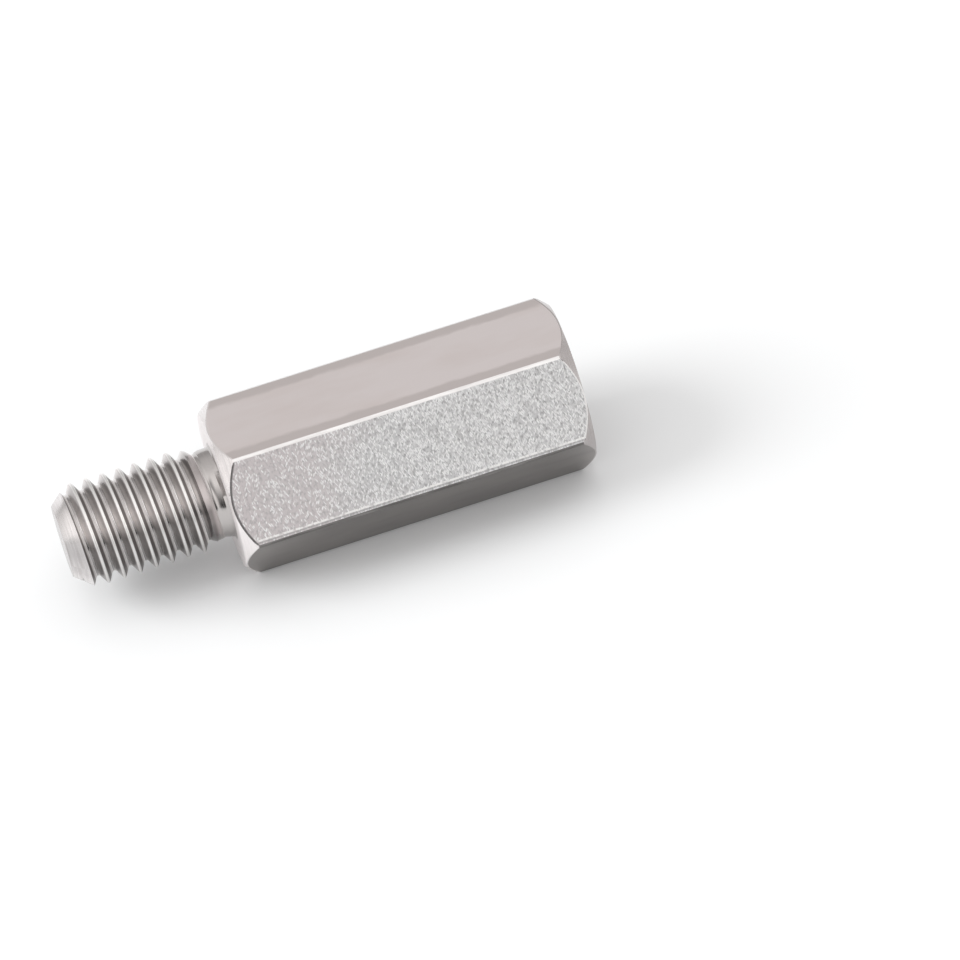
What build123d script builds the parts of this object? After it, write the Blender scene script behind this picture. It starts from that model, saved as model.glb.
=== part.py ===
from build123d import *
from math import cos, radians, tan
import os

# Driving dimensions in millimetres, angles in degrees

# Hexagonal body
across_flats = 12.0
hex_length = 27.5
edge_rounding = 0.45
end_face_inset = 0.05
end_chamfer_angle = 48.0

# M8 thread, the same on the stud and in the hole
thread_diameter = 8.0
thread_pitch = 1.25
thread_allowance = 0.03

# Threaded stud
stud_length = 12.5
tip_chamfer = 1.135
tip_chamfer_angle = 45.0
tip_dimple_diameter = 0.6
tip_dimple_depth = 0.2

# Turned neck between the stud's thread and the shoulder
neck_depth = 0.535
neck_length = 1.1
neck_runout_angle = 45.0
neck_fillet = 0.35

# Tapped blind hole in the other end
mouth_rim_width = 0.75
countersink_angle = 110.0
hole_depth = 14.0
drill_point_angle = 118.0

# Places along the part, which lies on a flat with its stud towards -X
overall_length = hex_length + stud_length
stud_tip_x = -overall_length / 2
shoulder_x = stud_tip_x + stud_length
hole_mouth_x = shoulder_x + hex_length
axis_height = across_flats / 2

tolerance = 0.001
long_axis = Axis((0, 0, axis_height), (1, 0, 0))
profile_plane = Plane(origin=(0, 0, axis_height), x_dir=(1, 0, 0), z_dir=(0, -1, 0))
shoulder_plane = Plane(origin=(shoulder_x, 0, axis_height), x_dir=(0, 1, 0), z_dir=(1, 0, 0))

# Radii
corner_radius = across_flats / 2 / cos(radians(30))
end_face_radius = across_flats / 2 - end_face_inset
major_radius = (thread_diameter - thread_allowance) / 2
minor_radius = (thread_diameter - thread_pitch) / 2
tip_radius = major_radius - tip_chamfer
neck_radius = major_radius - neck_depth
countersink_radius = end_face_radius - mouth_rim_width

# Lengths of the cones along the axis
end_cone = (corner_radius - end_face_radius) * tan(radians(end_chamfer_angle))
tip_cone = tip_chamfer / tan(radians(tip_chamfer_angle))
runout_cone = neck_depth / tan(radians(neck_runout_angle))
countersink_cone = (countersink_radius - minor_radius) / tan(radians(countersink_angle / 2))
drill_point = minor_radius / tan(radians(drill_point_angle / 2))

with BuildPart() as hex_standoff:
    # Hexagonal bar with lightly rounded long edges, one flat down
    with BuildSketch(shoulder_plane):
        RegularPolygon(radius=across_flats / 2, side_count=6, major_radius=False)
        fillet(vertices(), radius=edge_rounding)
    extrude(amount=hex_length)

    # Both ends are turned to a cone, which leaves an arc at the end of each flat
    with BuildSketch(profile_plane):
        with BuildLine():
            Polyline(
                (shoulder_x, 0),
                (shoulder_x, end_face_radius),
                (shoulder_x + end_cone, corner_radius),
                (hole_mouth_x - end_cone, corner_radius),
                (hole_mouth_x, end_face_radius),
                (hole_mouth_x, 0),
                close=True,
            )
        make_face()
    revolve(axis=long_axis, mode=Mode.INTERSECT)

    # Stud at its thread's outer size, with a chamfered tip and a plain neck
    with BuildSketch(profile_plane):
        with BuildLine():
            Polyline(
                (shoulder_x, 0),
                (shoulder_x, neck_radius),
                (shoulder_x - neck_length, neck_radius),
                (shoulder_x - neck_length - runout_cone, major_radius),
                (stud_tip_x + tip_cone, major_radius),
                (stud_tip_x, tip_radius),
                (stud_tip_x, tip_dimple_diameter / 2),
                (stud_tip_x + tip_dimple_depth, 0),
                close=True,
            )
        make_face()
    revolve(axis=long_axis)

    # Fillet where the neck meets the shoulder
    rings = edges().filter_by(GeomType.CIRCLE)
    shoulder_rings = rings.filter_by_position(Axis.X, shoulder_x - tolerance, shoulder_x + tolerance)
    fillet(shoulder_rings.sort_by(SortBy.RADIUS)[0], radius=neck_fillet)

    # Tapped hole at its thread's inner size, countersunk, with the drill's point at its bottom
    with BuildSketch(profile_plane):
        with BuildLine():
            Polyline(
                (hole_mouth_x, 0),
                (hole_mouth_x, countersink_radius),
                (hole_mouth_x - countersink_cone, minor_radius),
                (hole_mouth_x - hole_depth, minor_radius),
                (hole_mouth_x - hole_depth - drill_point, 0),
                close=True,
            )
        make_face()
    revolve(axis=long_axis, mode=Mode.SUBTRACT)

hex_standoff.part.label = "hex_standoff"

os.makedirs("parts", exist_ok=True)
export_step(hex_standoff.part, "parts/hex_standoff.step")
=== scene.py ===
from math import atan2, ceil, cos, hypot, pi, radians, sin, sqrt, tan

import bmesh
import bpy
from mathutils import Matrix, Vector


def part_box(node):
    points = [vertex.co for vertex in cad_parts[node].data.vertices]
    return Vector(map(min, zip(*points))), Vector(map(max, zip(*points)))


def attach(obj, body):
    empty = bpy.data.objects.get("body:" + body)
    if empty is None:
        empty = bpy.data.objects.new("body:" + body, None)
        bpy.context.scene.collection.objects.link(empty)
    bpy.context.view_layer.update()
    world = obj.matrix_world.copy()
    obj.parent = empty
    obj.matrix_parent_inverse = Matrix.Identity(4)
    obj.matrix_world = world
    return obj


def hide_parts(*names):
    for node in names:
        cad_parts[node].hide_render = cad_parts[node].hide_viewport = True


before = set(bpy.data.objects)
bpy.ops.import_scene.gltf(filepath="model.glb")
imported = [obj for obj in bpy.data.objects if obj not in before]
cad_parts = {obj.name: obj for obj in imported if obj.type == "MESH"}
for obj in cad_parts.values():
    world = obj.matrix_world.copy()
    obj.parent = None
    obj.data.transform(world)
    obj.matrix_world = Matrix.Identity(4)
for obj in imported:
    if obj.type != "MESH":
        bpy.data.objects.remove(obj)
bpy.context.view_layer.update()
nodeLow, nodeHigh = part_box("hex_standoff")
mm = 0.001
axisHeight = (nodeLow.z + nodeHigh.z) / 2  # metres, the height of the part's long axis
tipX = nodeLow.x / mm
mouthX = nodeHigh.x / mm

# every mesh has all the finishes, in the order in which they are made further down
drawnSlot, paintedShadeUnderSlot, paintedLitCornerSlot, paintedShadeCornerSlot, grainSlot, turnedSlot, boredSlot = range(7)
paintedLightStudEndSlot, tipSlot, threadSlot, leadSlot, trailSlot, paintedHighlightSlot, paintedDarkLineSlot = range(7, 14)


# camera, at the photograph's viewing angle

cameraLook = {
    "aim": (0.011506, -0.001175, 0.0),  # metres, the place in the middle of the picture
    "distance": 0.602279,
    "turned": -7.702,  # degrees round the part from straight ahead, so it stands a little to the left
    "raised": 44.554,  # degrees above the floor
    "rolled": -12.266,
    "lens": 300.0,
    "sensor": 36.0,
}


def addCamera(look):
    data = bpy.data.cameras.new("viewCamera")
    data.lens = look["lens"]
    data.sensor_width = look["sensor"]
    data.clip_start = 0.02
    data.clip_end = 20
    camera = bpy.data.objects.new("viewCamera", data)
    bpy.context.scene.collection.objects.link(camera)
    turned = Matrix.Rotation(radians(look["turned"]), 4, "Z")
    raised = Matrix.Rotation(radians(90 - look["raised"]), 4, "X")
    rolled = Matrix.Rotation(radians(look["rolled"]), 4, "Z")
    back = Matrix.Translation((0, 0, look["distance"]))
    camera.matrix_world = Matrix.Translation(look["aim"]) @ turned @ raised @ rolled @ back
    bpy.context.scene.camera = camera


addCamera(cameraLook)
print("camera placed")


# helpers for meshes, worked in millimetres with the long axis at the origin

mergeDistance = 1e-4
roundSteps = 160  # sides of a plain turned shape


def meshObject(name, bm):
    mesh = bpy.data.meshes.new(name)
    bm.to_mesh(mesh)
    bm.free()
    for material in steel:
        mesh.materials.append(material)
    thing = bpy.data.objects.new(name, mesh)
    bpy.context.scene.collection.objects.link(thing)
    return thing


def closeUp(bm):
    bmesh.ops.remove_doubles(bm, verts=bm.verts[:], dist=mergeDistance)
    rims = [e for e in bm.edges if e.is_boundary]
    if rims:
        bmesh.ops.holes_fill(bm, edges=rims, sides=0)
    bmesh.ops.recalc_face_normals(bm, faces=bm.faces[:])


def dressFaces(bm, slot):
    for face in bm.faces:
        face.smooth = True
        face.material_index = slot


def lineOf(bm, points):
    corners = [bm.verts.new((x, 0, r)) for x, r in points]
    return corners + [bm.edges.new(pair) for pair in zip(corners, corners[1:])]


def spunSolid(name, points, steps, slot):
    bm = bmesh.new()
    bmesh.ops.spin(
        bm, geom=lineOf(bm, points), cent=(0, 0, 0), axis=(1, 0, 0), dvec=(0, 0, 0),
        angle=2 * pi, steps=steps, use_merge=True,
    )
    closeUp(bm)
    dressFaces(bm, slot)
    return meshObject(name, bm)


def settleCorners(bm, settle):
    for corner in bm.verts:
        radius = hypot(corner.co.y, corner.co.z)
        if radius > 0.01:  # the middle of an end stays
            share = settle(corner.co.x, radius) / radius
            corner.co.y *= share
            corner.co.z *= share


def helixSolid(name, points, pitch, startX, turns, steps, ends, slot, settle=None):
    # one pitch of the thread's outline makes one turn while it moves along, the turn is repeated,
    # and the whole is cut square at both ends
    bm = bmesh.new()
    bmesh.ops.spin(
        bm, geom=lineOf(bm, [(startX + x, r) for x, r in points]), cent=(0, 0, 0), axis=(1, 0, 0),
        dvec=(pitch / steps, 0, 0), angle=2 * pi, steps=steps,
    )
    oneTurn = bm.verts[:] + bm.edges[:] + bm.faces[:]
    for turn in range(1, turns):
        copied = bmesh.ops.duplicate(bm, geom=oneTurn)["geom"]
        corners = [g for g in copied if isinstance(g, bmesh.types.BMVert)]
        bmesh.ops.translate(bm, verts=corners, vec=(turn * pitch, 0, 0))
    bmesh.ops.remove_doubles(bm, verts=bm.verts[:], dist=mergeDistance)
    for endX, side in zip(ends, (-1, 1)):
        everything = bm.verts[:] + bm.edges[:] + bm.faces[:]
        bmesh.ops.bisect_plane(
            bm, geom=everything, dist=1e-5, plane_co=(endX, 0, 0), plane_no=(side, 0, 0), clear_outer=True
        )
    if settle:
        settleCorners(bm, settle)
    closeUp(bm)
    dressFaces(bm, slot)
    return meshObject(name, bm)


def combine(base, tool, operation):
    modifier = base.modifiers.new("combine", "BOOLEAN")
    modifier.operation = operation
    modifier.solver = "MANIFOLD"
    modifier.object = tool
    bpy.context.view_layer.objects.active = base
    bpy.ops.object.modifier_apply(modifier=modifier.name)
    bpy.data.objects.remove(tool)


# hexagonal body, its ends turned to a cone so that each flat ends in an arc

hexBody = {
    "acrossFlats": 12.0,
    "length": 27.5,
    "cornerBreak": 0.15,  # how far the sharp corners are broken, along each flat
    "flatSteps": 28,
    "endPart": 2.0,  # how much of each end is set apart for the cone
    "endFaceInset": 0.05,
    "chamferAngle": 48.0,
    "arcBevel": 0.05,
    "frontArc": (2, 58),  # degrees up from the front between which the arcs are painted, a highlight at the mouth's end and a dark line at the stud's end
}
shoulderX = mouthX - hexBody["length"]


def makeHexPrism(size):
    # a hexagon with broken corners, extruded in three parts
    bm = bmesh.new()
    bmesh.ops.create_circle(bm, cap_ends=True, segments=6, radius=size["acrossFlats"] / 2 / cos(pi / 6))
    bmesh.ops.bevel(
        bm, geom=bm.verts[:], offset=size["cornerBreak"], offset_type="OFFSET",
        affect="VERTICES", segments=1, profile=0.5, material=-1, clamp_overlap=False,
    )
    sides = [e for e in bm.edges if e.calc_length() > 1]
    bmesh.ops.subdivide_edges(bm, edges=sides, cuts=size["flatSteps"] - 1)
    bmesh.ops.rotate(bm, verts=bm.verts[:], cent=(0, 0, 0), matrix=Matrix.Rotation(pi / 2, 3, "Y"))
    bmesh.ops.translate(bm, verts=bm.verts[:], vec=(shoulderX, 0, 0))
    face = bm.faces[:][0]
    inner = []
    for step in (size["endPart"], size["length"] - 2 * size["endPart"], size["endPart"]):
        grown = bmesh.ops.extrude_face_region(bm, geom=[face])["geom"]
        face = next(g for g in grown if isinstance(g, bmesh.types.BMFace))
        bmesh.ops.translate(bm, verts=face.verts[:], vec=(step, 0, 0))
        inner.append(face)
    bmesh.ops.delete(bm, geom=inner[:-1], context="FACES_ONLY")
    return bm


def turnEnds(bm, size):
    # the inner rings move to where the cone meets the flats, and the outer ones become round
    endRadius = size["acrossFlats"] / 2 - size["endFaceInset"]
    slope = tan(radians(size["chamferAngle"]))
    arcs = set()
    for corner in bm.verts:
        fromEnd = min(corner.co.x - shoulderX, mouthX - corner.co.x)
        side = 1 if corner.co.x < (shoulderX + mouthX) / 2 else -1
        radius = hypot(corner.co.y, corner.co.z)
        if fromEnd > size["endPart"] / 2:
            corner.co.x += side * ((radius - endRadius) * slope - fromEnd)
            arcs.add(corner)
        else:
            corner.co.y *= endRadius / radius
            corner.co.z *= endRadius / radius
    arcEdges = []
    for edge in bm.edges:
        first, second = edge.verts
        if first in arcs and second in arcs and abs(first.co.x - second.co.x) < size["length"] / 2:
            arcEdges.append(edge)
    return bmesh.ops.bevel(
        bm, geom=arcEdges, offset=size["arcBevel"], offset_type="OFFSET", affect="EDGES",
        segments=3, profile=0.5, material=-1, clamp_overlap=False,
    )["faces"]


def dressHexBody(bm, rounded, size):
    # the way a face looks gives its finish, and the front is where y is less; faces that look up get
    # painted light and faces that look down painted shade
    dressFaces(bm, turnedSlot)
    for face in bm.faces:
        normal = face.normal
        if abs(normal.x) < 0.02:  # a flat or a broken corner
            # corners that face up are painted lighter, the others painted darker
            face.material_index = paintedLitCornerSlot if normal.z > 0.5 else paintedShadeCornerSlot
            sixth = atan2(normal.z, normal.y) / radians(60) - 0.5  # a whole number on a flat
            if abs(sixth - round(sixth)) < 0.005:
                face.smooth = False
                # flats that face down get the painted shade
                face.material_index = drawnSlot if normal.z > 0 else paintedShadeUnderSlot
                if normal.y < -0.5 and normal.z > 0:
                    face.material_index = grainSlot
        elif normal.x > 0.02:  # the mouth's end
            face.material_index = boredSlot
        elif abs(normal.z) < 0.38 and normal.y < 0:  # the front of the stud's end, painted lighter
            face.material_index = paintedLightStudEndSlot
        if abs(normal.x) > 0.99:  # the end faces
            face.smooth = False
            face.material_index = boredSlot if normal.x > 0 else paintedLightStudEndSlot
    strips = set(f for f in rounded if f.is_valid)
    low, high = size["frontArc"]
    for face in strips:
        centre = face.calc_center_median()
        face.material_index = boredSlot if centre.x > 0 else turnedSlot
        # the arcs at the front get a painted highlight at the mouth's end and a painted dark line at the
        # stud's end
        if radians(low) < atan2(centre.z, -centre.y) < radians(high):
            face.material_index = paintedHighlightSlot if centre.x > 0 else paintedDarkLineSlot
    for edge in bm.edges:
        if len([f for f in edge.link_faces if f in strips]) == 1:
            edge.smooth = False


def makeHexBody(size):
    bm = makeHexPrism(size)
    rounded = turnEnds(bm, size)
    closeUp(bm)
    bm.normal_update()
    dressHexBody(bm, rounded, size)
    return meshObject("hexBody", bm)


# threaded stud with its neck, fillet and chamfered tip

studThread = {
    "crestRadius": 3.985,
    "rootRadius": 3.23,
    "pitch": 1.25,
    "crestX": -10.5455,  # a crest at this place above the axis sets the thread's turn
    "crestRounding": 0.13,
    "arcSteps": 6,
    "steps": 144,
    "tipRadius": 2.78,
    "tipSlope": 1.18,  # along the axis for one outwards
    "tipEdge": (0.02, 0.03),  # the end face's edge is broken by this much, along and across
    "coneReach": 5.0,  # the tip is cut by a cone that goes on to this radius, past the crests
    "dimpleRadius": 0.3,
    "dimpleDepth": 0.2,
    "neckRadius": 3.45,
    "neckLength": 1.3,
    "neckSlope": 0.42,  # how steeply the crests rise from the neck
    "neckFillet": 0.35,
    "fadeStart": 1.5,  # how far from the shoulder the root starts to rise, and where it is gone
    "fadeEnd": 0.35,
    "intoBody": 0.3,  # how far the stud goes into the body that it is joined to
}


def arcPoints(middleX, middleRadius, rounding, low, high, steps):
    # the angles are in degrees, 0 is straight outwards and 90 towards the mouth
    points = []
    for step in range(steps + 1):
        turn = radians(low + (high - low) * step / steps)
        points.append((middleX + rounding * sin(turn), middleRadius + rounding * cos(turn)))
    return points


def threadOutline(size):
    # one pitch from crest to crest with 30 degree flanks, round at its crest and in its root
    pitch = size["pitch"]
    rounding = size["crestRounding"]
    sharpBottom = size["crestRadius"] + rounding - pitch / 2 / tan(radians(30))
    rootRounding = size["rootRadius"] - sharpBottom
    crestMiddle = size["crestRadius"] - rounding
    rootMiddle = size["rootRadius"] + rootRounding
    steps = size["arcSteps"]
    crestStart = arcPoints(0, crestMiddle, rounding, 0, 60, steps // 2)
    root = arcPoints(pitch / 2, rootMiddle, rootRounding, 240, 120, steps)
    crestEnd = arcPoints(pitch, crestMiddle, rounding, -60, 0, steps // 2)
    return crestStart + root + crestEnd


def makeThreadedBar(size):
    neckEnd = shoulderX - size["neckLength"]
    filletStart = shoulderX - size["neckFillet"]

    def neckEnvelope(x):
        if x <= neckEnd:
            return size["neckRadius"] + (neckEnd - x) * size["neckSlope"]
        if x <= filletStart:
            return size["neckRadius"]
        reach = min(x - filletStart, size["neckFillet"])
        return size["neckRadius"] + size["neckFillet"] - sqrt(size["neckFillet"] ** 2 - reach ** 2)

    def settle(x, radius):
        # the root fades out into the neck, and nothing stands above the neck
        left = shoulderX - x
        envelope = neckEnvelope(x)
        share = (size["fadeStart"] - left) / (size["fadeStart"] - size["fadeEnd"])
        share = min(1, max(0, share))
        return min(radius + max(0, envelope - radius) * share, envelope)

    # it starts whole turns before the crest whose place is set, well beyond the tip
    turnsBefore = ceil((size["crestX"] - tipX + 1.8) / size["pitch"])
    startX = size["crestX"] - turnsBefore * size["pitch"]
    turns = ceil((shoulderX + 0.4 - startX) / size["pitch"]) + 1
    return helixSolid(
        "stud", threadOutline(size), size["pitch"], startX - size["pitch"], turns + 1, size["steps"],
        (tipX - 0.5, shoulderX + size["intoBody"]), threadSlot, settle,
    )


def makeTipShape(size):
    # what the tip is cut to: a dimple, a flat end face and a cone
    grow = size["coneReach"] - size["tipRadius"]
    edgeAlong, edgeAcross = size["tipEdge"]
    envelope = [
        (tipX + size["dimpleDepth"], 0),
        (tipX + size["dimpleDepth"] * 0.8, size["dimpleRadius"] * 0.5),
        (tipX, size["dimpleRadius"]),
        (tipX, size["tipRadius"] - edgeAcross),
        (tipX + edgeAlong, size["tipRadius"]),
        (tipX + edgeAlong + grow * size["tipSlope"], size["coneReach"]),
        (shoulderX + 1, size["coneReach"]),
        (shoulderX + 1, 0),
    ]
    tip = spunSolid("tipShape", envelope, roundSteps, tipSlot)
    for face in tip.data.polygons:
        if face.center.x < tipX + 0.3 and face.normal.x < -0.8:
            face.material_index = boredSlot
    return tip


def makeStud(size):
    # the flank that looks to the tip leads, the other one trails and takes a part of the root
    stud = makeThreadedBar(size)
    for face in stud.data.polygons:
        if face.normal.x < -0.8:
            face.material_index = leadSlot
        elif face.normal.x > 0.8:
            face.material_index = trailSlot
        elif face.normal.x > 0.4 and hypot(face.center.y, face.center.z) < 3.4:
            face.material_index = trailSlot
    combine(stud, makeTipShape(size), "INTERSECT")
    return stud


# tapped hole

tappedHole = {
    "minorRadius": 3.375,
    "majorRadius": 4.02,
    "pitch": 1.25,
    "crestFlat": 0.16,
    "threadDepth": 11.0,
    "drillDepth": 14.0,
    "drillPointAngle": 118.0,
    "rimWidth": 0.75,
    "countersinkAngle": 110.0,
    "steps": 144,
}


def drillHole(base, size):
    rim = hexBody["acrossFlats"] / 2 - hexBody["endFaceInset"] - size["rimWidth"]
    slope = 1 / tan(radians(size["countersinkAngle"] / 2))
    bore = size["minorRadius"]
    point = bore / tan(radians(size["drillPointAngle"] / 2))
    outline = [
        (mouthX + 1, 0),
        (mouthX + 1, rim + 1 / slope),
        (mouthX - (rim - bore) * slope, bore),
        (mouthX - size["drillDepth"], bore),
        (mouthX - size["drillDepth"] - point, 0),
    ]
    combine(base, spunSolid("drillShape", outline, roundSteps, boredSlot), "DIFFERENCE")


def tapHole(base, size):
    under = size["minorRadius"] - 0.2  # the tap's core is thinner than the drilled hole
    flank = (size["majorRadius"] - under) * tan(radians(30))
    crest = size["crestFlat"] / 2
    outline = [
        (0, size["majorRadius"]),
        (crest, size["majorRadius"]),
        (crest + flank, under),
        (size["pitch"] - crest - flank, under),
        (size["pitch"] - crest, size["majorRadius"]),
        (size["pitch"], size["majorRadius"]),
    ]
    startX = mouthX - size["threadDepth"] - size["pitch"]
    turns = ceil((size["threadDepth"] + 1) / size["pitch"]) + 2
    tap = helixSolid(
        "tapShape", outline, size["pitch"], startX, turns, size["steps"],
        (mouthX - size["threadDepth"], mouthX + 0.5), boredSlot,
    )
    combine(base, tap, "DIFFERENCE")


# helpers for shader nodes


def setInputs(tree, made, inputs):
    for key, value in (inputs or {}).items():
        if isinstance(value, bpy.types.NodeSocket):
            tree.links.new(value, made.inputs[key])
        else:
            made.inputs[key].default_value = value


def addNode(tree, kind, inputs=None, **settings):
    made = tree.nodes.new(kind)
    for key, value in settings.items():
        setattr(made, key, value)
    setInputs(tree, made, inputs)
    return made


def calc(tree, operation, *values):
    return addNode(tree, "ShaderNodeMath", dict(enumerate(values)), operation=operation).outputs[0]


def remap(tree, value, fromLow, fromHigh, toLow, toHigh, smooth=False):
    inputs = {"Value": value, "From Min": fromLow, "From Max": fromHigh, "To Min": toLow, "To Max": toHigh}
    made = addNode(tree, "ShaderNodeMapRange", inputs)
    made.interpolation_type = "SMOOTHSTEP" if smooth else "LINEAR"
    return made.outputs["Result"]


def vectorOf(tree, x, y, z):
    return addNode(tree, "ShaderNodeCombineXYZ", {0: x, 1: y, 2: z}).outputs[0]


def partsOf(tree, vector):
    return addNode(tree, "ShaderNodeSeparateXYZ", {0: vector}).outputs


def inMillimetres(tree, centred=False):
    # a centred place is measured from the part's long axis, not from the floor
    place = addNode(tree, "ShaderNodeTexCoord").outputs["Object"]
    inputs = {"Vector": place, "Scale": (1 / mm,) * 3}
    if centred:
        inputs["Location"] = (0, 0, -axisHeight / mm)
    return addNode(tree, "ShaderNodeMapping", inputs).outputs[0]


def noiseOf(tree, vector, scale, detail=2.0, roughness=0.5):
    inputs = {"Vector": vector, "Scale": scale, "Detail": detail, "Roughness": roughness}
    return addNode(tree, "ShaderNodeTexNoise", inputs).outputs["Fac"]


def mixColour(tree, share, first, second):
    made = addNode(tree, "ShaderNodeMix", data_type="RGBA", clamp_factor=True)
    setInputs(tree, made, {0: share, 6: first, 7: second})
    return made.outputs[2]


def dimColour(tree, colour, share):
    inputs = {0: colour, "Scale": share}
    return addNode(tree, "ShaderNodeVectorMath", inputs, operation="SCALE").outputs[0]


def rampOf(tree, share, stops):
    # stops are pairs of a place from 0 to 1 and a brightness
    made = addNode(tree, "ShaderNodeValToRGB", {"Fac": share})
    marks = made.color_ramp.elements
    for index, (place, bright) in enumerate(stops):
        mark = marks[index] if index < 2 else marks.new(place)
        mark.position = place
        mark.color = (bright, bright, bright, 1)
    return made.outputs["Color"]


def bumpOf(tree, height, strength, depth):
    # the depth is in metres
    inputs = {"Height": height, "Strength": strength, "Distance": depth}
    return addNode(tree, "ShaderNodeBump", inputs).outputs[0]


def newGroup(name, inputs, outputs):
    tree = bpy.data.node_groups.new(name, "ShaderNodeTree")
    for label, kind, value in inputs:
        socket = tree.interface.new_socket(name=label, in_out="INPUT", socket_type=kind)
        socket.default_value = value
    for label, kind in outputs:
        tree.interface.new_socket(name=label, in_out="OUTPUT", socket_type=kind)
    return tree, tree.nodes.new("NodeGroupInput").outputs, tree.nodes.new("NodeGroupOutput").inputs


def useGroup(tree, group, inputs=None):
    made = tree.nodes.new("ShaderNodeGroup")
    made.node_tree = group
    setInputs(tree, made, inputs)
    return made.outputs


# shared effects

number = "NodeSocketFloat"


def makeAxisPlace():
    # where a point is by the part's long axis, in millimetres and radians
    # its rise goes from 0 right below the axis to 1 right above it
    outputs = [("Along", number), ("Radius", number), ("Around", number), ("Rise", number)]
    tree, given, result = newGroup("axisPlace", [], outputs)
    parts = partsOf(tree, inMillimetres(tree, centred=True))
    squareY = calc(tree, "MULTIPLY", parts[1], parts[1])
    squareZ = calc(tree, "MULTIPLY", parts[2], parts[2])
    radius = calc(tree, "SQRT", calc(tree, "ADD", squareY, squareZ))
    rise = calc(tree, "ARCSINE", calc(tree, "DIVIDE", parts[2], radius))
    tree.links.new(parts[0], result["Along"])
    tree.links.new(radius, result["Radius"])
    tree.links.new(calc(tree, "ARCTAN2", parts[2], parts[1]), result["Around"])
    tree.links.new(calc(tree, "ADD", calc(tree, "DIVIDE", rise, pi), 0.5), result["Rise"])
    return tree


def makeTurningLines(axisPlace):
    # rings that a lathe tool leaves, fine along the axis and the radius and long round it
    inputs = [("Fineness", number, 8.0), ("Waver", number, 0.15)]
    tree, given, result = newGroup("turningLines", inputs, [("Height", number)])
    where = useGroup(tree, axisPlace)
    around = calc(tree, "MULTIPLY", where["Around"], given["Waver"])
    vector = vectorOf(tree, where["Along"], where["Radius"], around)
    tree.links.new(noiseOf(tree, vector, given["Fineness"], 3.0, 0.6), result["Height"])
    return tree


def makeDrawnLines():
    # long faint streaks along the bar
    inputs = [("Fineness", number, 9.0), ("Stretch", number, 0.03)]
    tree, given, result = newGroup("drawnLines", inputs, [("Height", number)])
    parts = partsOf(tree, inMillimetres(tree))
    vector = vectorOf(tree, calc(tree, "MULTIPLY", parts[0], given["Stretch"]), parts[1], parts[2])
    tree.links.new(noiseOf(tree, vector, given["Fineness"], 3.0, 0.6), result["Height"])
    return tree


grainDashes = {
    # each kind's lean in radians, where its pattern starts, and its width and length in millimetres
    "kinds": [(-0.50, 3.0, 0.13, 0.40), (0.05, 7.0, 0.12, 0.28), (0.42, 11.0, 0.13, 0.44)],
    "most": 0.46,  # share of the cells that hold a dash where the amount is 1
    "dimmest": 0.30,
    "groundFineness": 5.0,
}


def makeStrokeGrain(look):
    # short bright dashes that cross the flat, leaning both ways, over a slightly uneven ground: grain whose
    # brightness is a painted glint
    inputs = [("Along", number, 0.0), ("Across", number, 0.0), ("Amount", number, 0.5)]
    outputs = [("Fleck", number), ("Pit", number), ("Height", number)]
    tree, given, result = newGroup("strokeGrain", inputs, outputs)
    place = vectorOf(tree, given["Along"], given["Across"], 0.0)
    edge = calc(tree, "SUBTRACT", 1.0, calc(tree, "MULTIPLY", given["Amount"], look["most"]))
    edgeEnd = calc(tree, "ADD", edge, 0.05)
    total = 0.0
    for lean, start, wide, long in look["kinds"]:
        placed = {"Vector": place, "Location": (start, start, 0), "Rotation": (0, 0, lean)}
        placed["Scale"] = (wide, long, 1)
        turned = addNode(tree, "ShaderNodeMapping", placed, vector_type="TEXTURE").outputs[0]
        cells = {"Vector": turned, "Scale": 1.0}
        cell = addNode(tree, "ShaderNodeTexVoronoi", cells, voronoi_dimensions="2D", feature="F1").outputs
        chance = addNode(tree, "ShaderNodeSeparateColor", {0: cell["Color"]}).outputs
        lit = remap(tree, chance[0], edge, edgeEnd, 0.0, 1.0)
        core = remap(tree, cell["Distance"], 0.48, 0.30, 0.0, 1.0)
        bright = remap(tree, chance[1], 0.0, 1.0, look["dimmest"], 1.0)
        dash = calc(tree, "MULTIPLY", calc(tree, "MULTIPLY", lit, core), bright)
        total = calc(tree, "MAXIMUM", total, dash)
    groundPlace = vectorOf(tree, given["Along"], calc(tree, "MULTIPLY", given["Across"], 0.6), 0.0)
    ground = noiseOf(tree, groundPlace, look["groundFineness"], 2.0, 0.6)
    tree.links.new(total, result["Fleck"])
    tree.links.new(remap(tree, ground, 0.52, 0.34, 0.0, 1.0), result["Pit"])
    tree.links.new(calc(tree, "ADD", total, ground), result["Height"])
    return tree


# how fine the drawn lines are across the bar, and what part of that along it
stainLines = {"Fineness": 0.30, "Stretch": 0.35}
streakLines = {"Fineness": 7.0, "Stretch": 0.02}
waverLines = {"Fineness": 1.2, "Stretch": 0.5}
cornerLines = {"Fineness": 5.0, "Stretch": 0.08}

axisPlace = makeAxisPlace()
turningLines = makeTurningLines(axisPlace)
drawnLines = makeDrawnLines()
strokeGrain = makeStrokeGrain(grainDashes)


# finishes

drawnFinish = {
    "colour": (0.745, 0.69, 0.685, 1),
    "stainColour": (0.70, 0.635, 0.62, 1),
    "edgeColour": (0.60, 0.55, 0.54, 1),
    "edgeFrom": (6.42, 6.58),  # millimetres from the long axis
    "roughness": (0.34, 0.42),
    "streak": 0.05,
}
# painted shade: the flats that face down get this darker copy of the drawn steel
paintedShadeUnderFinish = {
    "colour": (0.27, 0.25, 0.24, 1),
    "stainColour": (0.19, 0.175, 0.17, 1),
    "edgeColour": (0.20, 0.185, 0.18, 1),
    "edgeFrom": (6.60, 6.80),
    "roughness": (0.16, 0.24),
    "streak": 0.05,
}
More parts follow.
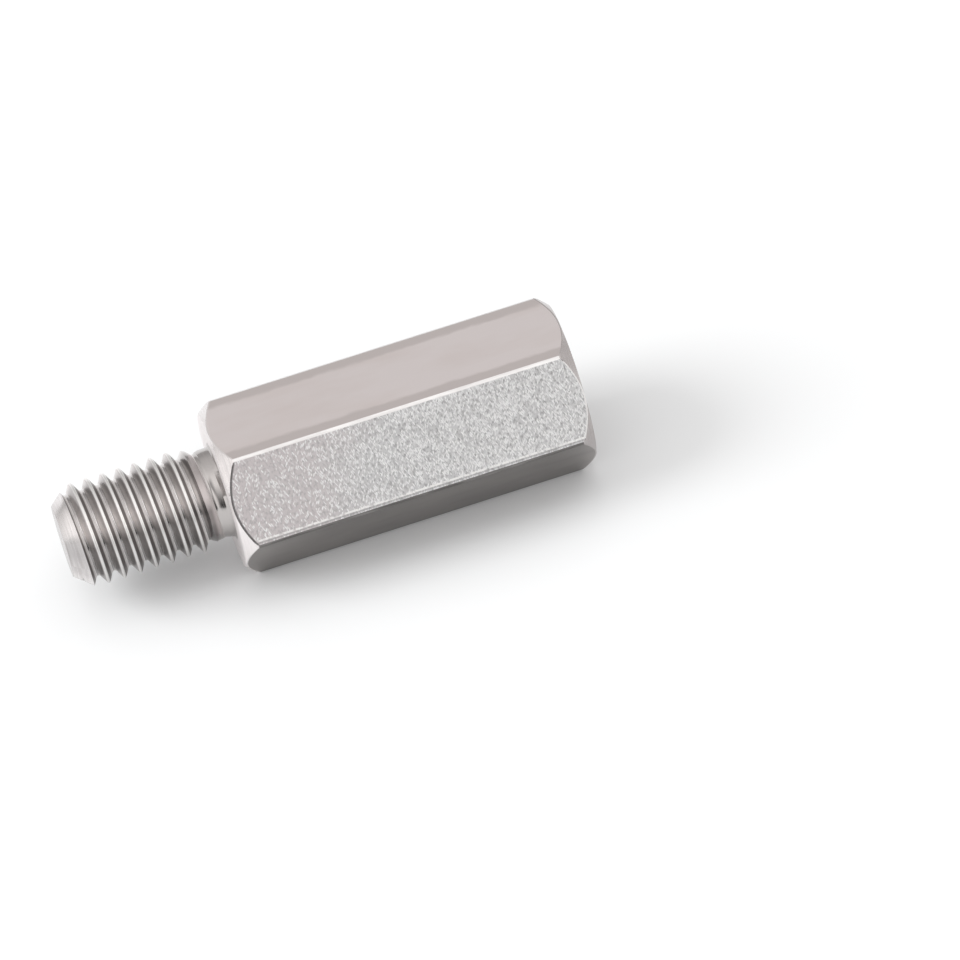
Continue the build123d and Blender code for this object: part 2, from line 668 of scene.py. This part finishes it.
# painted light: the two broken corners that face up
paintedLitCornerFinish = {
    "colour": (0.70, 0.685, 0.68, 1),
    "wornColour": (0.86, 0.85, 0.845, 1),
    "roughness": (0.30, 0.40),
}
# painted shade: the broken corners that face sideways and down
paintedShadeCornerFinish = {
    "colour": (0.12, 0.115, 0.11, 1),
    "wornColour": (0.24, 0.23, 0.225, 1),
    "roughness": (0.30, 0.40),
}
# painted highlight on the front arcs at the mouth's end
paintedHighlightEdgeFinish = {
    "colour": (1.0, 0.985, 0.98, 1),
    "wornColour": (0.90, 0.89, 0.88, 1),
    "roughness": 0.6,
}
# painted dark line on the front arcs at the stud's end
paintedDarkEdgeFinish = {
    "colour": (0.16, 0.15, 0.15, 1),
    "wornColour": (0.26, 0.25, 0.25, 1),
    "roughness": 0.5,
}
grainFinish = {
    "colour": (0.66, 0.615, 0.62, 1),
    "neutralColour": (0.65, 0.645, 0.65, 1),
    # the grain's dashes are painted white as glints
    "paintedGlintColour": (1.0, 1.0, 1.0, 1),
    "pitColour": (0.37, 0.36, 0.365, 1),
    "paintedHighlightColour": (1.0, 0.99, 0.98, 1),
    "thicker": (-7.0, 14.0),  # along the bar the grain gets thicker from here to there
    "drift": 22.0,  # and this many millimetres of unevenness blur that
    "paintedHighlightAt": -3.00,  # a broken painted highlight line, in millimetres from the flat's middle, a painted shade line beside it
    "arcLine": 0.10,  # how wide the painted dark line is along the arc at the stud's end
    "roughness": (0.40, 0.58),
    "metallic": 0.6,
    "bump": 0.5,
}
turnedFinish = {
    "colour": (0.82, 0.785, 0.78, 1),
    "grooveColour": (0.74, 0.705, 0.70, 1),
    "roughness": (0.18, 0.32),
    "bump": 0.12,
}
boredFinish = {
    "colour": (0.54, 0.51, 0.505, 1),
    "grooveColour": (0.47, 0.435, 0.43, 1),
    "roughness": (0.16, 0.30),
    "bump": 0.14,
}
# painted light: a brighter, partly matt copy of the turned steel for the front of the stud's end cone and
# its end face
paintedLightStudEndFinish = {
    "colour": (0.85, 0.815, 0.815, 1),
    "grooveColour": (0.79, 0.755, 0.755, 1),
    "roughness": (0.45, 0.60),
    "bump": 0.10,
    "metallic": 0.45,
}
# a shade is painted shade, how bright the steel is painted, from right below the axis (-90 degrees) to
# right above it (90)
tipFinish = {
    "colour": (0.88, 0.845, 0.84, 1),
    "grooveColour": (0.70, 0.668, 0.662, 1),
    "roughness": (0.18, 0.32),
    "bump": 0.14,
    "shade": [
        (-90, 0.94), (-24, 0.94), (-12, 0.79), (2, 0.72), (20, 0.59), (38, 0.60),
        (48, 0.86), (56, 0.97), (70, 0.99), (82, 0.94), (90, 0.82),
    ],
}
# painted highlight: the crests are coloured almost white
threadFinish = {
    "innerColour": (0.70, 0.665, 0.655, 1),
    "outerColour": (1.0, 0.98, 0.965, 1),
    "reach": (3.80, 3.92),  # millimetres from the long axis, between the inner and outer colour
    "roughness": (0.12, 0.22),
}
leadFinish = {
    "innerColour": (0.68, 0.64, 0.63, 1),
    "outerColour": (0.78, 0.74, 0.73, 1),
    "reach": (3.3, 3.8),
    "roughness": (0.26, 0.38),
}
# the trailing flank is painted pale and matt near the root and dark outwards, a painted light line and a
# painted dark line
trailFinish = {
    "innerColour": (1.0, 0.98, 0.965, 1),
    "outerColour": (0.30, 0.28, 0.275, 1),
    "reach": (3.42, 3.52),
    "roughness": (0.30, 0.42),
    "mattReach": (3.42, 3.52),  # nearer to the axis than this the flank is matt
    "mattMetallic": 0.30,
    "innerShade": 0.75,  # how much less the shade counts there
}
# what the thread's three finishes share
threadLook = {
    # a painted shade round the long axis: darker below and at the sides, lightest a little above the side
    "shade": [
        (-90, 0.48), (-35, 0.42), (-15, 0.33), (0, 0.34), (10, 0.42), (25, 0.40),
        (33, 0.72), (42, 1.0), (52, 1.0), (65, 0.75), (75, 0.60), (90, 0.60),
    ],
    "crestReach": (3.80, 3.92),  # the crests start here, in millimetres from the long axis
    "crestShade": 0.50,  # how much less the shade counts on the crests
    "crestRough": 0.22,  # how much rougher they are
    "neckColour": (0.50, 0.475, 0.465, 1),
    "neckFrom": (-8.95, -8.65),  # along the long axis
}


def newFinish(name, metallic=1.0):
    material = bpy.data.materials.new(name)
    material.use_nodes = True
    tree = material.node_tree
    shader = tree.nodes["Principled BSDF"]
    shader.inputs["Metallic"].default_value = metallic
    return material, tree, shader


def shadeOf(tree, rise, shade):
    return rampOf(tree, rise, [(angle / 180 + 0.5, bright) for angle, bright in shade])


def makeDrawnSteel(name, look):
    # faint streaks along the flat, a few broad stains, and a darker band beside its corners
    material, tree, shader = newFinish(name)
    where = useGroup(tree, axisPlace)
    stain = useGroup(tree, drawnLines, stainLines)["Height"]
    streak = useGroup(tree, drawnLines, streakLines)["Height"]
    waver = useGroup(tree, drawnLines, waverLines)["Height"]
    share = remap(tree, stain, 0.45, 0.75, 0.0, 1.0)
    plain = mixColour(tree, share, look["colour"], look["stainColour"])
    reach = calc(tree, "ADD", where["Radius"], remap(tree, waver, 0.3, 0.7, -0.04, 0.04))
    edge = remap(tree, reach, *look["edgeFrom"], 0.0, 1.0, smooth=True)
    tree.links.new(mixColour(tree, edge, plain, look["edgeColour"]), shader.inputs["Base Color"])
    low, high = look["roughness"]
    tree.links.new(remap(tree, streak, 0.3, 0.7, low, high), shader.inputs["Roughness"])
    tree.links.new(bumpOf(tree, streak, look["streak"], 0.00002), shader.inputs["Normal"])
    return material


def makeCornerSteel(name, look):
    # the narrow broken corners between the flats, painted lighter on the two that face up and darker on the
    # others
    material, tree, shader = newFinish(name)
    streak = useGroup(tree, drawnLines, cornerLines)["Height"]
    share = remap(tree, streak, 0.40, 0.65, 0.0, 1.0)
    tree.links.new(mixColour(tree, share, look["colour"], look["wornColour"]), shader.inputs["Base Color"])
    low, high = look["roughness"]
    tree.links.new(remap(tree, streak, 0.3, 0.7, low, high), shader.inputs["Roughness"])
    return material


def makeEdgeSteel(name, look):
    # the thin rounded line where a flat meets the turned end, painted as a highlight at the mouth's end and
    # as a dark line at the stud's end
    material, tree, shader = newFinish(name)
    line = useGroup(tree, turningLines, {"Fineness": 6.0, "Waver": 6.0})["Height"]
    share = remap(tree, line, 0.35, 0.65, 0.0, 1.0)
    tree.links.new(mixColour(tree, share, look["colour"], look["wornColour"]), shader.inputs["Base Color"])
    shader.inputs["Roughness"].default_value = look["roughness"]
    return material


def addPaintedHighlightLine(tree, colour, centred, across, look):
    # a painted highlight along the flat comes and goes, with a painted shade line right below it
    fromLine = calc(tree, "SUBTRACT", across, look["paintedHighlightAt"])
    line = remap(tree, calc(tree, "ABSOLUTE", fromLine), 0.05, 0.11, 1.0, 0.0)
    broken = remap(tree, noiseOf(tree, centred, 3.0, 1.0, 0.5), 0.38, 0.52, 0.15, 0.9)
    shade = remap(tree, calc(tree, "ABSOLUTE", calc(tree, "ADD", fromLine, 0.15)), 0.04, 0.08, 0.6, 0.0)
    lined = mixColour(tree, calc(tree, "MULTIPLY", line, broken), colour, look["paintedHighlightColour"])
    return mixColour(tree, shade, lined, look["pitColour"])


def addPaintedDarkArcLine(tree, colour, along, look, size):
    # a painted dark line beside the arc, which lies where the turned cone comes out of the flat
    slope = tan(radians(size["chamferAngle"]))
    endRadius = size["acrossFlats"] / 2 - size["endFaceInset"]
    reach = useGroup(tree, axisPlace)["Radius"]
    arcAt = calc(tree, "MULTIPLY_ADD", reach, slope, shoulderX - endRadius * slope)
    fromArc = calc(tree, "SUBTRACT", along, arcAt)
    share = remap(tree, fromArc, look["arcLine"], look["arcLine"] + 0.05, 0.85, 0.0)
    return mixColour(tree, share, colour, paintedDarkEdgeFinish["colour"])


def makeGrainedSteel(name, look):
    material, tree, shader = newFinish(name, look["metallic"])
    centred = inMillimetres(tree, centred=True)
    parts = partsOf(tree, centred)
    sideways = calc(tree, "MULTIPLY", parts[1], sin(radians(30)))
    upwards = calc(tree, "MULTIPLY", parts[2], cos(radians(30)))
    across = calc(tree, "ADD", sideways, upwards)
    drift = calc(tree, "SUBTRACT", noiseOf(tree, centred, 0.16, 2.0, 0.5), 0.5)
    drifted = calc(tree, "ADD", parts[0], calc(tree, "MULTIPLY", drift, look["drift"]))
    amount = remap(tree, drifted, *look["thicker"], 0.4, 1.0, smooth=True)
    grain = useGroup(tree, strokeGrain, {"Along": parts[0], "Across": across, "Amount": amount})
    neutral = remap(tree, amount, 0.4, 0.8, 0.0, 1.0)
    plain = mixColour(tree, neutral, look["colour"], look["neutralColour"])
    pitShare = calc(tree, "MULTIPLY", grain["Pit"], remap(tree, amount, 0.4, 1.0, 0.5, 0.9))
    pitted = mixColour(tree, pitShare, plain, look["pitColour"])
    flecked = mixColour(tree, grain["Fleck"], pitted, look["paintedGlintColour"])
    lined = addPaintedHighlightLine(tree, flecked, centred, across, look)
    colour = addPaintedDarkArcLine(tree, lined, parts[0], look, hexBody)
    tree.links.new(colour, shader.inputs["Base Color"])
    low, high = look["roughness"]
    tree.links.new(remap(tree, grain["Height"], 0.4, 1.2, high, low), shader.inputs["Roughness"])
    tree.links.new(bumpOf(tree, grain["Height"], look["bump"], 0.00005), shader.inputs["Normal"])
    return material


def makeTurnedSteel(name, look, fineness):
    material, tree, shader = newFinish(name, look.get("metallic", 1.0))
    line = useGroup(tree, turningLines, {"Fineness": fineness})["Height"]
    share = remap(tree, line, 0.35, 0.65, 0.0, 1.0)
    colour = mixColour(tree, share, look["grooveColour"], look["colour"])
    if "shade" in look:
        # painted shade, by the angle round the long axis
        colour = dimColour(tree, colour, shadeOf(tree, useGroup(tree, axisPlace)["Rise"], look["shade"]))
    tree.links.new(colour, shader.inputs["Base Color"])
    low, high = look["roughness"]
    tree.links.new(remap(tree, line, 0.3, 0.7, high, low), shader.inputs["Roughness"])
    tree.links.new(bumpOf(tree, line, look["bump"], 0.00003), shader.inputs["Normal"])
    return material


def makeThreadSteel(name, look, shared):
    # crests are painted bright as a highlight, the flanks darker, all of it dimmed by a painted shade round
    # the axis, and the neck beside them is plain
    material, tree, shader = newFinish(name)
    where = useGroup(tree, axisPlace)
    line = useGroup(tree, turningLines, {"Fineness": 9.0})["Height"]
    outer = remap(tree, where["Radius"], *look["reach"], 0.0, 1.0)
    # the colour by distance from the axis holds the painted highlight on the crests and the painted lines
    # on the flanks
    paintedByReach = mixColour(tree, outer, look["innerColour"], look["outerColour"])
    # painted shade by the angle round the long axis
    shade = shadeOf(tree, where["Rise"], shared["shade"])
    lessShade = remap(
        tree, where["Radius"], *shared["crestReach"], look.get("innerShade", 0.0), shared["crestShade"]
    )
    lit = calc(tree, "ADD", shade, calc(tree, "MULTIPLY", lessShade, calc(tree, "SUBTRACT", 1.0, shade)))
    threaded = dimColour(tree, paintedByReach, lit)
    neck = remap(tree, where["Along"], *shared["neckFrom"], 0.0, 1.0, smooth=True)
    tree.links.new(mixColour(tree, neck, threaded, shared["neckColour"]), shader.inputs["Base Color"])
    low, high = look["roughness"]
    rough = remap(tree, line, 0.3, 0.7, high, low)
    crestRough = remap(tree, where["Radius"], *shared["crestReach"], 0.0, shared["crestRough"])
    tree.links.new(calc(tree, "ADD", rough, crestRough), shader.inputs["Roughness"])
    tree.links.new(bumpOf(tree, line, 0.10, 0.00003), shader.inputs["Normal"])
    if "mattReach" in look:
        metallic = remap(tree, where["Radius"], *look["mattReach"], look["mattMetallic"], 1.0)
        tree.links.new(metallic, shader.inputs["Metallic"])
    return material


# in the order of the slots at the top
steel = [
    makeDrawnSteel("drawnSteel", drawnFinish),
    makeDrawnSteel("paintedShadeUnderSteel", paintedShadeUnderFinish),
    makeCornerSteel("paintedLitCorner", paintedLitCornerFinish),
    makeCornerSteel("paintedShadeCorner", paintedShadeCornerFinish),
    makeGrainedSteel("grainedSteel", grainFinish),
    makeTurnedSteel("turnedSteel", turnedFinish, 7.0),
    makeTurnedSteel("boredSteel", boredFinish, 7.0),
    makeTurnedSteel("paintedLightStudEndSteel", paintedLightStudEndFinish, 7.0),
    makeTurnedSteel("tipSteel", tipFinish, 3.0),
    makeThreadSteel("threadSteel", threadFinish, threadLook),
    makeThreadSteel("leadFlank", leadFinish, threadLook),
    makeThreadSteel("trailFlank", trailFinish, threadLook),
    makeEdgeSteel("paintedHighlightEdge", paintedHighlightEdgeFinish),
    makeEdgeSteel("paintedDarkEdge", paintedDarkEdgeFinish),
]
print("finishes made")


# the standoff, put together

sharpAngle = 28  # degrees between two faces from which their edge stays sharp


def finishStandoff(base):
    mesh = base.data
    bm = bmesh.new()
    bm.from_mesh(mesh)
    bmesh.ops.remove_doubles(bm, verts=bm.verts[:], dist=2e-5)
    for edge in bm.edges:
        if len(edge.link_faces) == 2 and edge.calc_face_angle(0) > radians(sharpAngle):
            edge.smooth = False
    print("triangles", sum(len(f.verts) - 2 for f in bm.faces))
    print("open edges", len([e for e in bm.edges if not e.is_manifold]))
    bmesh.ops.scale(bm, vec=(mm, mm, mm), verts=bm.verts[:])
    bmesh.ops.translate(bm, vec=(0, 0, axisHeight), verts=bm.verts[:])
    bm.to_mesh(mesh)
    bm.free()
    base.name = "hexStandoff"
    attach(base, "root")
    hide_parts("hex_standoff")


body = makeHexBody(hexBody)
print("hexagonal body made")
combine(body, makeStud(studThread), "UNION")
print("threaded stud joined")
drillHole(body, tappedHole)
tapHole(body, tappedHole)
print("hole drilled and tapped")
finishStandoff(body)


# floor

floorLook = {
    "half": 4.0,
    "colour": (0.83, 0.843, 0.852, 1),
    "lift": 0.04,  # how much whiter the floor looks than it lights the part
}


def makeFloor(look):
    bm = bmesh.new()
    bmesh.ops.create_grid(bm, x_segments=1, y_segments=1, size=look["half"])
    mesh = bpy.data.meshes.new("paleFloor")
    bm.to_mesh(mesh)
    bm.free()
    material = bpy.data.materials.new("paleFloor")
    material.use_nodes = True
    tree = material.node_tree
    tree.nodes.clear()
    matt = addNode(tree, "ShaderNodeBsdfDiffuse", {"Color": look["colour"]}).outputs[0]
    glow = addNode(tree, "ShaderNodeEmission", {"Color": (1, 1, 1, 1), "Strength": look["lift"]}).outputs[0]
    lit = addNode(tree, "ShaderNodeAddShader", {0: matt, 1: glow}).outputs[0]
    path = addNode(tree, "ShaderNodeLightPath").outputs
    mirrored = calc(tree, "MAXIMUM", path["Is Glossy Ray"], path["Is Transmission Ray"])
    seen = calc(tree, "MAXIMUM", path["Is Camera Ray"], mirrored)
    pick = addNode(tree, "ShaderNodeMixShader", {0: seen, 1: matt, 2: lit}).outputs[0]
    addNode(tree, "ShaderNodeOutputMaterial", {"Surface": pick})
    mesh.materials.append(material)
    thing = bpy.data.objects.new("paleFloor", mesh)
    bpy.context.scene.collection.objects.link(thing)


makeFloor(floorLook)
print("floor laid")


# light: a soft sky with broad cards, and one lamp

skyLook = {
    # brightness from the front horizon, over the top, to the back horizon, in degrees
    "arch": [
        (0, 0.06), (13, 0.08), (25, 0.28), (45, 0.80), (65, 1.22), (85, 1.15),
        (105, 0.88), (125, 0.76), (145, 0.66), (165, 0.46), (180, 0.50),
    ],
    # each card is a direction, how wide it is in degrees, how soft its edge is, and how bright it is
    "cards": [
        ((-1.0, 0.0, 0.25), 24, 30, 0.20),
        ((1.0, 0.0, 0.20), 20, 30, 0.18),
        ((-0.80, -0.58, 0.14), 20, 14, 0.95),
        ((0.80, -0.58, 0.14), 20, 14, 1.05),
    ],
    "frontWidth": (0.25, 0.60),  # how far to the sides the front part of the arch stays bright
    "frontDim": 0.75,
    "strength": 1.12,
    "tint": (1.0, 0.985, 0.975, 1),
}
lampLook = {
    "place": (-0.84, 0.16, 0.62),
    "size": 0.70,
    "power": 6.0,
}


def makeSky(look):
    world = bpy.data.worlds.new("softSky")
    bpy.context.scene.world = world
    world.use_nodes = True
    tree = world.node_tree
    tree.nodes.clear()
    direction = addNode(tree, "ShaderNodeTexCoord").outputs["Generated"]
    parts = partsOf(tree, direction)
    turn = calc(tree, "ARCTAN2", parts[2], calc(tree, "MULTIPLY", parts[1], -1.0))
    stops = [(angle / 180, bright) for angle, bright in look["arch"]]
    arch = rampOf(tree, calc(tree, "DIVIDE", turn, pi), stops)
    sideways = remap(tree, calc(tree, "ABSOLUTE", parts[0]), *look["frontWidth"], 0.0, 1.0, smooth=True)
    ahead = remap(tree, parts[1], 0.1, -0.3, 0.0, 1.0, smooth=True)
    dim = calc(tree, "MULTIPLY", calc(tree, "MULTIPLY", sideways, ahead), look["frontDim"])
    total = calc(tree, "MULTIPLY", arch, calc(tree, "SUBTRACT", 1.0, dim))
    for aim, wide, soft, bright in look["cards"]:
        inputs = {0: direction, 1: Vector(aim).normalized()}
        along = addNode(tree, "ShaderNodeVectorMath", inputs, operation="DOT_PRODUCT").outputs["Value"]
        card = remap(tree, along, cos(radians(wide + soft)), cos(radians(wide)), 0.0, bright, smooth=True)
        total = calc(tree, "ADD", total, card)
    strength = calc(tree, "MULTIPLY", total, look["strength"])
    shade = addNode(tree, "ShaderNodeBackground", {"Color": look["tint"], "Strength": strength})
    addNode(tree, "ShaderNodeOutputWorld", {"Surface": shade.outputs[0]})


def addLamp(look):
    # it only casts the soft shadow, the sky is what the steel shows
    data = bpy.data.lights.new("softLamp", "AREA")
    data.shape = "DISK"
    data.size = look["size"]
    data.energy = look["power"]
    lamp = bpy.data.objects.new("softLamp", data)
    bpy.context.scene.collection.objects.link(lamp)
    lamp.visible_glossy = False
    lamp.location = look["place"]
    lamp.rotation_euler = (-Vector(look["place"])).to_track_quat("-Z", "Y").to_euler()


makeSky(skyLook)
addLamp(lampLook)
bpy.context.scene.view_settings.view_transform = "Standard"
print("light set")
